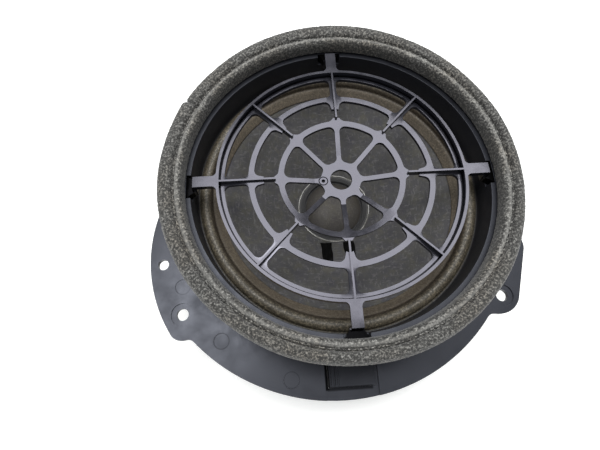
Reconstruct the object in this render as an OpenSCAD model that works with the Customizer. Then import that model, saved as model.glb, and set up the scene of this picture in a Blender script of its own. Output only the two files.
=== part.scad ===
// Car-door loudspeaker: a mid-bass driver with a plastic basket, a foam ring round its front
// and a one-piece guard grille. The origin is the centre of the flange's rear face, and +Z
// points out of the front, towards the listener. Millimetres.

/* [Flange] */
// Thickness of the mounting flange
flange_t = 3; // [2.5:0.5:4]
// Radius of the flange's lower half, round the connector
flange_r = 104.3; // [103:0.1:107]
// Radius of the flange's upper half
flange_top_r = 100; // [98:1:102]
// Distance between the rivet holes, left to right
rivet_span_x = 170.4; // [168:0.2:172]
// Distance between the rivet holes, bottom to top
rivet_span_y = 115.4; // [112:0.2:118]
// Diameter of each rivet hole
rivet_hole_d = 6.2; // [5:0.1:6.6]
// Diameter of the locating hole in the left ear
locating_hole_d = 5.8; // [5:0.1:6]

/* [Basket] */
// Outer radius of the collar
collar_r = 82.5; // [82:0.1:83]
// Height of the ledge that carries the edge of the surround
ledge_z = 20.1; // [19.5:0.1:20.5]
// Number of windows in the back of the basket
window_count = 12; // [8:2:14]
// Angle that each window spans
window_angle = 18; // [14:1:20]

/* [Front ring and foam] */
// Inner radius of the front ring at its lip
lip_r = 74.6; // [74:0.1:75]
// Height of the lip, where the foam sits
lip_z = 36; // [35.5:0.1:36.5]
// Inner radius of the foam gasket
foam_in_r = 76.8; // [76.5:0.1:77]
// Outer radius of the foam gasket
foam_out_r = 88; // [87:0.1:89]
// Height of the foam above the lip
foam_h = 9.5; // [8:0.5:10]

/* [Guard grille] */
// Outer radius of the grille's rim
rim_r = 61.3; // [60.8:0.1:61.8]
// Height of the top of the rim
rim_z = 41; // [40.5:0.1:41.5]
// Number of spokes
spoke_count = 8; // [8:1:8]
// Radius of the hole in the hub
hub_hole_r = 5.5; // [5:0.1:6]
// Height of the flat hub, which is dished below the rim
hub_z = 35.3; // [34.5:0.1:36]
// Width of the four arms
arm_w = 5.4; // [5:0.1:6]

/* [Cone and suspension] */
// Radius at the middle of the surround's half roll
roll_r = 69.6; // [69.4:0.1:69.8]
// Radius of the surround's half roll
roll_h = 3; // [2.8:0.1:3.2]
// Height of the bottom of the cone
neck_z = -6.2; // [-7:0.1:-5.5]
// Radius of the voice coil former
former_r = 16.15; // [16:0.05:16.2]
// Radius of the dust cap's dome
cap_r = 16.2; // [15.5:0.1:16.4]
// Height of the top of the spider's inner end
spider_z = -13; // [-13.2:0.1:-12.8]

/* [Motor] */
// Height of the front plate's upper face
plate_z = -22; // [-23:0.5:-22]
// Thickness of the front plate
plate_t = 5; // [4:0.5:6]
// Radius of the front plate
plate_r = 42; // [41:0.5:43]
// Outer radius of the ferrite magnet
magnet_r = 45; // [44:0.5:46]
// Thickness of the ferrite magnet
magnet_t = 16; // [14:0.5:18]
// Thickness of the yoke's back plate
yoke_t = 5; // [4:0.5:6]

/* [Hidden] */
$fn = 96;
arc_fn = 24;
rivet_x = rivet_span_x / 2;
rivet_y = rivet_span_y / 2;
locating_pos = [-96.2, -30.5];
flange_shift = [-3.5, 0];
left_corner = [-85.1, -63.9];
left_corner_r = 7;
left_bow = [-23.3, -25];
left_bow_r = 80;
right_ear = [82.5, -55];
right_ear_r = 12.3;
right_side = [94.8, -30.5];
right_side_r = 8.5;
top_ear_r = 8.2;
side_disc_r = 14;
ear_fillet = 5;
counterbore_r = 5.9;
counterbore_depth = 0.6;
pin_mark_r = 4;
pin_mark_depth = 0.25;
pin_marks = [[-85.4, -43.2], [-64.9, -72.3], [-30, -93.2]];

collar_wall = 2.5;
ledge_in_r = 68.8;
ledge_t = 2.5;
cage_top_z = 0;
shelf_z = -13.6;
shelf_r = 46;
seat_in_r = 31.5;
seat_t = 2.5;
seat_wall_r = 41;
cage_t = 2.6;
window_in_r = 50;
window_out_r = 76;

landing_t = 0.8;
landing_out_r = 78.8;
surround_t = 0.8;
lip_out_r = 84.6;
lip_t = 2.2;
front_wall_t = 3.4;
pocket_w = 12;
pocket_h = 5.2;
fit_gap = 0.15;

rim_wall = 1.4;
rim_h = 4.8;
rim_flat_r = 57.6;
rim_groove_w = 0.7;
rim_groove_depth = 0.9;
mid_in_r = 43.1;
mid_out_r = 45.7;
inner_in_r = 28.5;
inner_out_r = 31.2;
hub_r = 9.9;
hub_flat_r = 13.3;
pad_out_r = 32.8;
pad_w = 4.4;
spoke_w = 2.35;
web_w = 3.4;
web_in_r = 38;
fin_w = 0.9;
fin_in_r = 32.4;
fin_bottom_z = rim_z - 3.6;
plate_top_z = rim_z - 1.6;
rim_flat_z = rim_z - 2.9;
lattice_t = 1.8;
window_fillet = 2.8;
arm_tip_r = 72.4;
arm_t = 3;
foot_r = 76.5;
foot_w = 11.4;
foot_top_z = lip_z - 0.2;
foot_h = 4.6;
gate_pos = [-8.9, -0.3];
gate_r = 2.5;
gate_boss_r = 1.95;
gate_ring_r = 2.3;
gate_ring_depth = 0.35;
gate_pit_r = 0.85;
gate_pit_depth = 0.8;

cone_out_r = 66.2;
cone_bend_r = 62;
cone_bend_z = 15.7;
cone_edge_z = 20;
cone_t = 0.8;
cone_neck_r = former_r + 0.15;
bead_r = 20.5;
cap_flange_r = 20.1;
cap_rise = 4.6;
former_t = 0.25;
former_top_z = neck_z - 0.3;
former_bottom_z = -31;
coil_r = 16.85;
coil_top_z = -18.8;
coil_bottom_z = -30.2;
gap_r = 17.5;
pole_r = 15.4;
vent_r = 5;
magnet_in_r = 24;
screw_circle_r = 35.4;
screw_count = 4;
screw_r = 1.9;
screw_head_r = 2.7;
screw_head_h = 1.6;

spider_out_r = 45.4;
spider_roll_in_r = 19.2;
spider_roll_out_r = 40.8;
spider_waves = 5;
spider_wave_h = 1.1;
spider_t = 0.6;

strip_x = 6.4;
strip_w = 6.4;
strip_in_r = 21.2;
strip_out_r = 34.5;
strip_t = 1.1;

socket_x = 0.2;
socket_w = 24.2;
socket_y_in = -81.9;
socket_y_out = -98.2;
socket_top_z = flange_t + 0.2;
bay_margin = 1.2;
bay_depth = 1.4;
socket_bottom_z = -15;
socket_wall = 1.4;
socket_depth = 13;
terminal_pitch = 12;
terminal_w = 2.8;
terminal_t = 0.8;
terminal_tab_r = 58;
terminal_z = -1.8;
lead_r = 0.7;

magnet_top_z = plate_z - plate_t;
yoke_top_z = magnet_top_z - magnet_t;
yoke_bottom_z = yoke_top_z - yoke_t;

// Height of the cone's front face at radius r.
function cone_face_z(r) = r < cone_bend_r
    ? neck_z + (r - cone_neck_r) * (cone_bend_z - neck_z) / (cone_bend_r - cone_neck_r)
    : cone_bend_z + (r - cone_bend_r) * (cone_edge_z - cone_bend_z) / (cone_out_r - cone_bend_r);

// Points on an arc round c, from angle a to angle b.
function arc(c, r, a, b, n = arc_fn) =
    [for (i = [0 : n]) let (t = a + (b - a) * i / n) [c[0] + r * cos(t), c[1] + r * sin(t)]];

// Height of the spider's middle surface at radius r.
function spider_wave(r) = spider_z - spider_wave_h
    * sin(180 * 2 * spider_waves * (r - spider_roll_in_r) / (spider_roll_out_r - spider_roll_in_r));

// A disc at each of two points, and the straight sides that join them.
module joined_discs(a, ra, b, rb) {
    d = norm(b - a);
    t = atan2(b[1] - a[1], b[0] - a[0]);
    s = acos((ra - rb) / d);
    translate(a) circle(r = ra);
    translate(b) circle(r = rb);
    polygon([
        a + ra * [cos(t + s), sin(t + s)], a + ra * [cos(t - s), sin(t - s)],
        b + rb * [cos(t - s), sin(t - s)], b + rb * [cos(t + s), sin(t + s)]]);
}

// A flat ring.
module ring_2d(r_in, r_out) {
    difference() {
        circle(r = r_out);
        circle(r = r_in);
    }
}

// A tube from z_low to z_high.
module tube(r_in, r_out, z_low, z_high) {
    translate([0, 0, z_low])
        difference() {
            cylinder(r = r_out, h = z_high - z_low);
            translate([0, 0, -1]) cylinder(r = r_in, h = z_high - z_low + 2);
        }
}

// The flange seen from the front: a disc with four rounded ears.
module flange_outline() {
    offset(r = -ear_fillet) offset(r = ear_fillet)
        union() {
            circle(r = flange_top_r, $fn = 144);
            intersection() {
                translate(flange_shift) circle(r = flange_r, $fn = 144);
                translate([-120, -120]) square([240, 120 - rivet_y + 10]);
            }
            left_ear();
            joined_discs(right_ear, right_ear_r, right_side, right_side_r);
            joined_discs(right_side, right_side_r, [flange_top_r - side_disc_r, 0], side_disc_r);
            for (side = [0, 1])
                mirror([side, 0]) {
                    translate([side_disc_r - flange_top_r, 0]) circle(r = side_disc_r);
                    joined_discs([-rivet_x, rivet_y], top_ear_r, [-70, 46], top_ear_r + 1);
                }
        }
}

// The left ear: a long bowed side that ends in a small rounded corner.
module left_ear() {
    tangent = (left_corner - left_bow) / norm(left_corner - left_bow);
    translate(left_corner) circle(r = left_corner_r);
    intersection() {
        translate(left_bow) circle(r = left_bow_r, $fn = 180);
        polygon([left_corner, left_corner + 30 * tangent, [-125, left_corner[1] + 30 * tangent[1]],
            [-125, 20], [-60, 20], [-60, left_corner[1]]]);
    }
}

// The moulded basket: flange, collar, ledge, windowed cage, spider shelf and motor seat.
module basket_frame() {
    color([0.16, 0.16, 0.19])
        difference() {
            union() {
                linear_extrude(flange_t) flange_outline();
                rotate_extrude() polygon(basket_section());
            }
            translate([0, 0, -1]) cylinder(r = collar_r - collar_wall, h = flange_t + 2);
            for (x = [-rivet_x, rivet_x], y = [-rivet_y, rivet_y])
                translate([x, y, 0]) {
                    translate([0, 0, -1]) cylinder(d = rivet_hole_d, h = flange_t + 2);
                    translate([0, 0, flange_t - counterbore_depth])
                        cylinder(r = counterbore_r, h = counterbore_depth + 1);
                }
            translate([locating_pos[0], locating_pos[1], -1])
                cylinder(d = locating_hole_d, h = flange_t + 2);
            for (p = pin_marks)
                translate([p[0], p[1], flange_t - pin_mark_depth])
                    cylinder(r = pin_mark_r, h = 1);
            for (i = [0 : window_count - 1])
                rotate([0, 0, (i + 0.5) * 360 / window_count - window_angle / 2])
                    rotate_extrude(angle = window_angle)
                        polygon([[window_in_r, -25], [window_out_r, -25], [window_out_r, 2],
                            [window_out_r - 1, 2], [window_in_r, -6]]);
            screw_shanks(plate_z - 1, seat_t + 2);
            connector_cutout();
        }
}

// Half section of the basket's body of revolution.
function basket_section() = [
    [collar_r, flange_t - 1], [collar_r, ledge_z], [ledge_in_r, ledge_z],
    [ledge_in_r, ledge_z - ledge_t], [collar_r - collar_wall, ledge_z - ledge_t - 4],
    [collar_r - collar_wall, cage_top_z], [shelf_r, shelf_z + 2.4], [shelf_r, shelf_z],
    [seat_wall_r - cage_t, shelf_z], [seat_wall_r - cage_t, plate_z + seat_t],
    [seat_in_r, plate_z + seat_t], [seat_in_r, plate_z], [seat_wall_r, plate_z],
    [seat_wall_r, shelf_z - cage_t], [shelf_r + 1, shelf_z - cage_t],
    [collar_r, cage_top_z - cage_t]];

// The opening in the flange for the connector, and the slots in the collar for its strips.
module connector_cutout() {
    translate([socket_x - socket_w / 2, socket_y_out, -4])
        cube([socket_w, socket_y_in - socket_y_out, flange_t + 5]);
    translate([socket_x - socket_w / 2 - bay_margin, -flange_r - 1, flange_t - bay_depth])
        cube([socket_w + 2 * bay_margin, flange_r - collar_r + 2, bay_depth + 1]);
    for (side = [-1, 1])
        translate([socket_x + side * terminal_pitch / 2 - terminal_w / 2 - fit_gap,
                -collar_r - 1, terminal_z - fit_gap])
            cube([terminal_w + 2 * fit_gap, 12, terminal_t + 2 * fit_gap]);
}

// The shanks of the motor screws, or the holes for them.
module screw_shanks(z_low, h) {
    for (i = [0 : screw_count - 1])
        rotate([0, 0, 45 + i * 360 / screw_count])
            translate([screw_circle_r, 0, z_low]) cylinder(r = screw_r, h = h);
}

// The ring that clamps the surround's edge and carries the foam and the grille.
module front_ring() {
    color([0.30, 0.30, 0.36])
        difference() {
            rotate_extrude() polygon([
                [lip_r, lip_z], [lip_out_r, lip_z], [lip_out_r, lip_z - lip_t],
                [lip_r + front_wall_t, lip_z - lip_t - 1.5],
                [lip_r + front_wall_t - 0.6, ledge_z + landing_t + 2.4],
                [landing_out_r, ledge_z + landing_t + 2.4], [landing_out_r, ledge_z + landing_t],
                [lip_r - 1, ledge_z + landing_t]]);
            for (i = [0 : 3])
                rotate([0, 0, i * 90])
                    translate([lip_r - 2, -pocket_w / 2, lip_z - pocket_h])
                        cube([foot_r + fit_gap - lip_r + 2, pocket_w, pocket_h + 1]);
        }
}

// The foam ring: a strip with a groove round its top, draped over the lip's outer edge.
module foam_gasket() {
    groove_r = 81.7;
    in_bead = (groove_r - foam_in_r) / 2;
    out_bead = (foam_out_r - groove_r) / 2;
    color([0.42, 0.42, 0.40])
        rotate_extrude() polygon(concat(
            [[foam_in_r, lip_z]],
            arc([foam_in_r + in_bead, lip_z + foam_h - 0.4 - in_bead], in_bead, 180, 12, 14),
            arc([groove_r + out_bead, lip_z + foam_h - out_bead], out_bead, 168, 0, 14),
            arc([foam_out_r - 1.4, lip_z - 1.4], 1.4, 0, -90, 8),
            [[lip_out_r + 0.05, lip_z - 2.8], [lip_out_r + 0.05, lip_z]]));
}

// The lattice seen from the front, before it is given its dished section.
module lattice_outline() {
    offset(r = -window_fillet, $fn = 28) offset(r = window_fillet, $fn = 28)
        union() {
            ring_2d(hub_hole_r - 1, hub_r, $fn = 48);
            translate(gate_pos) circle(r = gate_r, $fn = 32);
            ring_2d(inner_in_r, inner_out_r, $fn = 96);
            ring_2d(mid_in_r, mid_out_r, $fn = 120);
            ring_2d(rim_flat_r, rim_r - rim_wall + 0.2, $fn = 144);
            for (i = [0 : spoke_count - 1])
                rotate([0, 0, i * 360 / spoke_count]) {
                    translate([hub_hole_r + 1, -spoke_w / 2])
                        square([inner_in_r - hub_hole_r, spoke_w]);
                    translate([mid_in_r + 1, -web_w / 2])
                        square([rim_flat_r - mid_in_r, web_w]);
                    polygon([[mid_in_r + 1, -web_w / 2 - 1.6], [web_in_r, -web_w / 2],
                        [web_in_r + 0.8, 0], [web_in_r, web_w / 2],
                        [mid_in_r + 1, web_w / 2 + 1.6]]);
                    polygon([[inner_out_r - 1, -pad_w / 2 - 1], [pad_out_r, -pad_w / 2 + 0.4],
                        [pad_out_r, pad_w / 2 - 0.4], [inner_out_r - 1, pad_w / 2 + 1]]);
                }
        }
}

// One thin upright fin of the grille, from the rim in to the inner ring.
module grille_fin() {
    translate([0, fin_w / 2, 0])
        rotate([90, 0, 0])
            linear_extrude(fin_w)
                polygon([[inner_out_r + 0.4, fin_bottom_z], [rim_r - 0.6, fin_bottom_z],
                    [rim_r - 0.6, rim_z], [fin_in_r, rim_z], [fin_in_r, plate_top_z - 0.6],
                    [inner_out_r + 0.4, plate_top_z - 0.6]]);
}

// One arm of the grille, with the leg and foot that hold it in its pocket.
module grille_arm() {
    translate([rim_r - 0.7, -arm_w / 2, rim_z - arm_t])
        cube([arm_tip_r - rim_r + 0.7, arm_w, arm_t]);
    for (side = [0, 1])
        mirror([0, side, 0])
            translate([rim_r - 0.3, arm_w / 2 - 0.01, rim_z - arm_t])
                difference() {
                    cube([2.2, 2.2, arm_t]);
                    translate([2.4, 2.4, -1]) cylinder(r = 2.4, h = arm_t + 2);
                }
    translate([0, arm_w / 2, 0])
        rotate([90, 0, 0])
            linear_extrude(arm_w)
                polygon([[arm_tip_r - 2, rim_z], [arm_tip_r, rim_z], [arm_tip_r + 1, foot_top_z],
                    [arm_tip_r + 1, foot_top_z - foot_h], [arm_tip_r - 1, foot_top_z - foot_h]]);
    translate([0, 0, foot_top_z - foot_h])
        linear_extrude(foot_h)
            polygon([[arm_tip_r - 0.6, -arm_w / 2], [foot_r, -foot_w / 2], [foot_r, foot_w / 2],
                [arm_tip_r - 0.6, arm_w / 2]]);
}

// The guard grille: rim, three rings, spokes, fins, a dished hub and four arms.
module guard_grille() {
    color([0.55, 0.55, 0.60])
        difference() {
            union() {
                intersection() {
                    rotate_extrude() polygon([
                        [hub_hole_r, hub_z], [hub_flat_r, hub_z], [inner_out_r + 0.4, plate_top_z],
                        [mid_out_r, plate_top_z], [rim_flat_r, rim_flat_z], [rim_r - 0.2, rim_flat_z],
                        [rim_r - 0.2, rim_flat_z - lattice_t], [rim_flat_r, rim_flat_z - lattice_t],
                        [mid_out_r, plate_top_z - lattice_t],
                        [inner_out_r + 0.4, plate_top_z - lattice_t],
                        [hub_flat_r, hub_z - lattice_t], [hub_hole_r, hub_z - lattice_t]]);
                    translate([0, 0, hub_z - 10]) linear_extrude(20) lattice_outline();
                }
                tube(rim_r - rim_wall, rim_r, rim_z - rim_h, rim_z);
                for (i = [0 : spoke_count - 1])
                    rotate([0, 0, i * 360 / spoke_count]) grille_fin();
                for (i = [0 : 3])
                    rotate([0, 0, i * 90]) grille_arm();
            }
            difference() {
                tube(rim_r - rim_wall - rim_groove_w, rim_r - rim_wall,
                    rim_flat_z - rim_groove_depth, rim_flat_z + 0.5);
                for (i = [0 : spoke_count / 2 - 1])
                    rotate([0, 0, i * 360 / spoke_count])
                        translate([-rim_r, -fin_w / 2, rim_flat_z - 2]) cube([2 * rim_r, fin_w, 4]);
            }
            translate([gate_pos[0], gate_pos[1], 0]) {
                translate([0, 0, hub_z - gate_pit_depth]) cylinder(r = gate_pit_r, h = 1);
                tube(gate_boss_r, gate_ring_r, hub_z - gate_ring_depth, hub_z + 1);
            }
        }
}

// The connector housing: a block set in the flange, with a socket that opens to the rear.
module connector_housing() {
    y_mid = (socket_y_in + socket_y_out) / 2;
    depth = socket_y_in - socket_y_out;
    color([0.10, 0.10, 0.12])
        difference() {
            union() {
                translate([socket_x - socket_w / 2 + fit_gap, socket_y_out + fit_gap, socket_bottom_z])
                    cube([socket_w - 2 * fit_gap, depth - 2 * fit_gap, socket_top_z - socket_bottom_z]);
                for (i = [0 : 2])
                    translate([socket_x - socket_w / 2 + 0.8 + i * 2, socket_y_out + 0.8,
                            socket_top_z - 0.1])
                        cube([0.8, depth - 1.6, 0.6]);
            }
            translate([socket_x - socket_w / 2 + socket_wall, socket_y_out + socket_wall,
                    socket_bottom_z - 1])
                cube([socket_w - 2 * socket_wall, depth - 2 * socket_wall, socket_depth + 1]);
            for (side = [-1, 1])
                translate([socket_x + side * terminal_pitch / 2 - terminal_w / 2 - fit_gap,
                        y_mid - terminal_t / 2 - fit_gap, socket_bottom_z + socket_depth - 1])
                    cube([terminal_w + 2 * fit_gap, 20, terminal_t + 2.2]);
        }
}

// A stamped strip: a blade in the socket, a run to the cage and a tab for the flexible lead.
module terminal_strip(side) {
    y_mid = (socket_y_in + socket_y_out) / 2;
    x = socket_x + side * terminal_pitch / 2;
    color([0.80, 0.66, 0.30]) {
        translate([x - terminal_w / 2, y_mid - terminal_t / 2, socket_bottom_z + 3])
            cube([terminal_w, terminal_t, terminal_z + terminal_t - socket_bottom_z - 3]);
        translate([x - terminal_w / 2, y_mid - terminal_t / 2, terminal_z])
            cube([terminal_w, -terminal_tab_r - y_mid, terminal_t]);
    }
}

// The upper pole piece, screwed to the back of the basket.
module front_plate() {
    color([0.62, 0.63, 0.65])
        difference() {
            translate([0, 0, plate_z - plate_t]) cylinder(r = plate_r, h = plate_t);
            translate([0, 0, plate_z - plate_t - 1]) cylinder(r = gap_r, h = plate_t + 2);
            screw_shanks(plate_z - plate_t - 1, plate_t + 2);
        }
}

// The ring magnet.
module ferrite_magnet() {
    color([0.20, 0.20, 0.21]) tube(magnet_in_r, magnet_r, yoke_top_z, magnet_top_z);
}

// The back plate and centre pole, turned as one piece, with a vent through it.
module pole_yoke() {
    color([0.60, 0.61, 0.63])
        difference() {
            union() {
                translate([0, 0, yoke_bottom_z + 0.8]) cylinder(r = plate_r + 1, h = yoke_t - 0.8);
                translate([0, 0, yoke_bottom_z])
                    cylinder(r1 = plate_r, r2 = plate_r + 1, h = 0.8);
                translate([0, 0, yoke_top_z - 1]) cylinder(r = pole_r, h = plate_z - yoke_top_z + 1);
            }
            translate([0, 0, yoke_bottom_z - 1]) cylinder(r = vent_r, h = 60);
            translate([0, 0, yoke_bottom_z - 1]) cylinder(r1 = vent_r + 3.5, r2 = vent_r, h = 3.5);
        }
}

// The screws that hold the front plate to the basket, driven from inside.
module motor_screws() {
    color([0.70, 0.70, 0.72])
        union() {
            screw_shanks(plate_z - plate_t + 0.5, plate_t + seat_t);
            for (i = [0 : screw_count - 1])
                rotate([0, 0, 45 + i * 360 / screw_count])
                    translate([screw_circle_r, 0, plate_z + seat_t])
                        cylinder(r = screw_head_r, h = screw_head_h);
        }
}

// The foam surround: outer landing, half roll and the skirt that is glued on the cone.
module surround() {
    base_z = ledge_z + landing_t;
    under_h = roll_h - surround_t;
    color([0.45, 0.42, 0.33])
        rotate_extrude() polygon(concat(
            [[landing_out_r, ledge_z], [landing_out_r, base_z]],
            arc([roll_r, base_z], roll_h, 0, 180),
            [[cone_bend_r - 0.2, cone_bend_z + 1], [cone_bend_r, cone_bend_z],
             [cone_out_r, cone_edge_z], [cone_out_r + 0.5, base_z - 0.3]],
            arc([roll_r, base_z], under_h, 180, 0),
            [[roll_r + under_h + 0.2, ledge_z]]));
}

// The spider: a corrugated cloth disc between the former and the shelf.
module spider() {
    steps = 60;
    span = spider_roll_out_r - spider_roll_in_r;
    rs = [for (i = [0 : steps]) spider_roll_in_r + span * i / steps];
    color([0.72, 0.62, 0.35])
        rotate_extrude() polygon(concat(
            [[former_r, spider_z - 0.2], [former_r, spider_z + 0.9], [former_r + 0.8, spider_z + 0.9]],
            [for (r = rs) [r, spider_wave(r) + spider_t / 2]],
            [[spider_out_r, spider_z + spider_t / 2], [spider_out_r, spider_z - spider_t]],
            [[spider_roll_out_r + 0.4, spider_z - spider_t]],
            [for (i = [steps : -1 : 0]) [rs[i], spider_wave(rs[i]) - spider_t / 2]]));
}

// Route of the left-hand flexible lead, from under the cone to the terminal's tab.
lead_route = [[-6.4, -34.5, 1.0], [-6.6, -35.2, -1.2], [-6.9, -37, -3.4], [-7.2, -40, -5.2],
    [-7.4, -44, -6], [-7.5, -48, -5.4], [-7.5, -52, -3.8], [-7.5, -55.5, -1.8], [-7.5, -58, -1.4]];
lead_sides = 8;

// The rings of points of a tube along a route, each square to the route.
function tube_rings(p, r) = [for (i = [0 : len(p) - 1])
    let (
        d = p[min(i + 1, len(p) - 1)] - p[max(i - 1, 0)],
        t = d / norm(d),
        u = cross(t, [1, 0, 0]) / norm(cross(t, [1, 0, 0])),
        v = cross(t, u))
    for (k = [0 : lead_sides - 1])
        p[i] + r * (cos(360 * k / lead_sides) * u + sin(360 * k / lead_sides) * v)];

// A closed round tube along a route.
module swept_tube(p, r) {
    n = len(p);
    m = lead_sides;
    polyhedron(tube_rings(p, r), concat(
        [[for (k = [m - 1 : -1 : 0]) k]],
        [for (i = [0 : n - 2], k = [0 : m - 1])
            [i * m + k, i * m + (k + 1) % m, (i + 1) * m + (k + 1) % m, (i + 1) * m + k]],
        [[for (k = [0 : m - 1]) (n - 1) * m + k]]));
}

// A braided lead that flexes as the cone moves.
module tinsel_lead(side) {
    shift = side * (terminal_pitch / 2) + socket_x;
    color([0.75, 0.55, 0.35])
        swept_tube([for (p = lead_route) let (w = (-34.5 - p[1]) / 23)
            [side * strip_x + w * (shift - side * strip_x), p[1], p[2]]], lead_r);
}

// The paper cone.
module cone() {
    color([0.26, 0.26, 0.27])
        rotate_extrude() polygon([
            [cone_neck_r, cone_face_z(cone_neck_r)], [cone_bend_r, cone_bend_z],
            [cone_out_r, cone_edge_z], [cone_out_r, cone_edge_z - cone_t],
            [cone_bend_r + 0.3, cone_bend_z - cone_t],
            [cone_neck_r, cone_face_z(cone_neck_r) - cone_t - 0.6]]);
}

// The dust cap: a dome, a groove round it and a stepped flange that lies on the cone.
module dust_cap() {
    t = 0.5;
    base = cone_face_z(cap_flange_r);
    rise_r = (cap_r * cap_r + cap_rise * cap_rise) / (2 * cap_rise);
    top = base + 3.2;
    function dome(r, out) = top - rise_r + sqrt(pow(rise_r - out, 2) - r * r);
    dome_rs = [for (i = [0 : 16]) cap_r * i / 16];
    color([0.30, 0.28, 0.26])
        rotate_extrude() polygon(concat(
            [for (r = dome_rs) [r, dome(r, 0)]],
            [[cap_r + 0.5, dome(cap_r, 0) - 0.1], [cap_r + 1.1, base + 0.6], [cap_r + 2, base + 0.9],
             [cap_r + 2.1, base + 0.6], [cap_r + 3, base + 0.6], [cap_r + 3.1, base + 0.25],
             [cap_flange_r, base + 0.3], [cap_flange_r, base],
             [cone_neck_r + 0.3, cone_face_z(cone_neck_r + 0.3)]],
            [for (i = [16 : -1 : 0]) [dome_rs[i] * 0.985, dome(dome_rs[i] * 0.985, t)]]));
}

// The bead of glue round the dust cap's flange.
module cap_glue_bead() {
    color([0.62, 0.62, 0.58])
        rotate_extrude() polygon([
            [cap_flange_r, cone_face_z(cap_flange_r)], [cap_flange_r, cone_face_z(cap_flange_r) + 0.6],
            [cap_flange_r + 0.35, cone_face_z(cap_flange_r) + 0.95],
            [cap_flange_r + 0.8, cone_face_z(cap_flange_r) + 0.85],
            [cap_flange_r + 1.1, cone_face_z(cap_flange_r + 1.1)]]);
}

// The tube that the voice coil is wound on.
module coil_former() {
    color([0.80, 0.60, 0.30]) tube(former_r - former_t, former_r, former_bottom_z, former_top_z);
}

// The winding.
module voice_coil() {
    color([0.72, 0.38, 0.18]) tube(former_r, coil_r, coil_bottom_z, coil_top_z);
}

// A strip of black glue over a lead wire, on the front of the cone.
module lead_glue(side) {
    color([0.04, 0.04, 0.04])
        intersection() {
            rotate_extrude() polygon([
                [strip_in_r, cone_face_z(strip_in_r)],
                [strip_in_r + 0.6, cone_face_z(strip_in_r + 0.6) + strip_t],
                [strip_out_r - 1, cone_face_z(strip_out_r - 1) + strip_t],
                [strip_out_r, cone_face_z(strip_out_r)]]);
            translate([side * strip_x - strip_w / 2, -strip_out_r - 1, neck_z - 5])
                cube([strip_w, strip_out_r - strip_in_r + 6, 40]);
        }
}

basket_frame();
front_ring();
foam_gasket();
guard_grille();
connector_housing();
terminal_strip(-1);  // terminal_strip_left
terminal_strip(1);  // terminal_strip_right
front_plate();
ferrite_magnet();
pole_yoke();
motor_screws();
surround();
spider();
tinsel_lead(-1);  // tinsel_lead_left
tinsel_lead(1);  // tinsel_lead_right
cone();
dust_cap();
cap_glue_bead();
coil_former();
voice_coil();
lead_glue(-1);  // lead_glue_left
lead_glue(1);  // lead_glue_right
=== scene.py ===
"""A car-door loudspeaker: its surfaces, finishes, light and camera, round a fixed frame."""

import math

import bmesh
import bpy
import numpy as np
from mathutils import Matrix


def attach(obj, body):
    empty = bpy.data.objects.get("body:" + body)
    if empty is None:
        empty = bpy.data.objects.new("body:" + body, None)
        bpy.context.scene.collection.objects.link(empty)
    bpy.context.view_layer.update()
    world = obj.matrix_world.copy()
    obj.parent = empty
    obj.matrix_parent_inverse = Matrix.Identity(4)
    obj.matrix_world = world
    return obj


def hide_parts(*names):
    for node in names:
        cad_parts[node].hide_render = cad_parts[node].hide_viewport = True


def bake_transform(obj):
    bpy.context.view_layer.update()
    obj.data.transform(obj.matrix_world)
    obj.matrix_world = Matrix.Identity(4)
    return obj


bl_info = {
    "name": "Car-door loudspeaker",
    "version": (1, 0, 0),
    "blender": (4, 5, 0),
    "location": "3D View > Sidebar > Loudspeaker",
    "description": "Builds a car-door loudspeaker with a foam ring and a guard grille",
    "category": "Object",
}

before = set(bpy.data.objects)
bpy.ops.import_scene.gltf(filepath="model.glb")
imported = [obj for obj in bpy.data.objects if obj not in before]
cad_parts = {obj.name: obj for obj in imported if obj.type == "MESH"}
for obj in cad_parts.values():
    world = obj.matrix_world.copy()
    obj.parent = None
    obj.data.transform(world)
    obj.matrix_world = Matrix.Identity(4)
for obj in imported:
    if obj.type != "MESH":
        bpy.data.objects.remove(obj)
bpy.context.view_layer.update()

MM = 0.001
FULL_TURN = 2 * math.pi
MERGE_DISTANCE = 2e-6
SHARP_ANGLE = math.radians(32)
FIXED = "frame"
MOVING = "moving_cone"
SIDES = {-1: "left", 1: "right"}

# Heights and radii of the frame's own parts, in millimetres.
LEDGE_Z = 20.1
LANDING_T = 0.8
LANDING_OUT_R = 78.8
ROLL_R = 69.6
ROLL_H = 3.0
SKIN_T = 0.8
CONE_NECK = (16.3, -6.2)
CONE_BEND = (62.0, 15.7)
CONE_EDGE = (66.2, 20.0)
CONE_T = 0.8
CAP_R = 16.2
CAP_FLANGE_R = 20.1
SPIDER_Z = -13.0
SPIDER_IN_R = 16.15
SPIDER_OUT_R = 45.4
SPIDER_ROLLS = (19.2, 40.8)
COIL_IN_R = 16.15
COIL_Z = (-30.2, -18.8)
SCREW_CIRCLE_R = 35.4
SCREW_SEAT_Z = -19.5
LEAD_X = 6.4
FLOOR_Z = -48.0

# Painted shade in the recesses, grooves, gaps and shadowed faces of a moulding, darker than the
# moulding itself. A ring is x, y, inner radius, outer radius, top and share of black painted shade.
# A box is left, right, front, back and share of black painted shade.
GRILLE_RINGS = (
    (-8.9, -0.3, 1.92, 2.42, 36.0, 1.0), (-8.9, -0.3, -1.0, 0.92, 36.0, 1.0),
    (0.0, 0.0, 59.15, 59.92, 38.05, 0.9), (0.0, 0.0, 72.6, 95.0, 60.0, 0.97))
PIN_RINGS = (
    (-85.4, -43.2, 3.7, 4.15, 5.0, 0.35), (-64.9, -72.3, 3.7, 4.15, 5.0, 0.45),
    (-30.0, -93.2, 3.7, 4.15, 5.0, 0.35))
BAY_BOXES = (
    (-13.3, -11.2, -99.3, -85.5, 0.97), (-12.3, 10.6, -99.6, -97.6, 0.75),
    (-11.0, 12.6, -97.6, -85.5, 0.25), (-11.0, -9.9, -97.0, -85.5, 0.45),
    (-8.6, -8.0, -97.0, -85.5, 0.6))
PAINTED_SHADE_BLACK = (0.0015, 0.0015, 0.0015)
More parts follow.
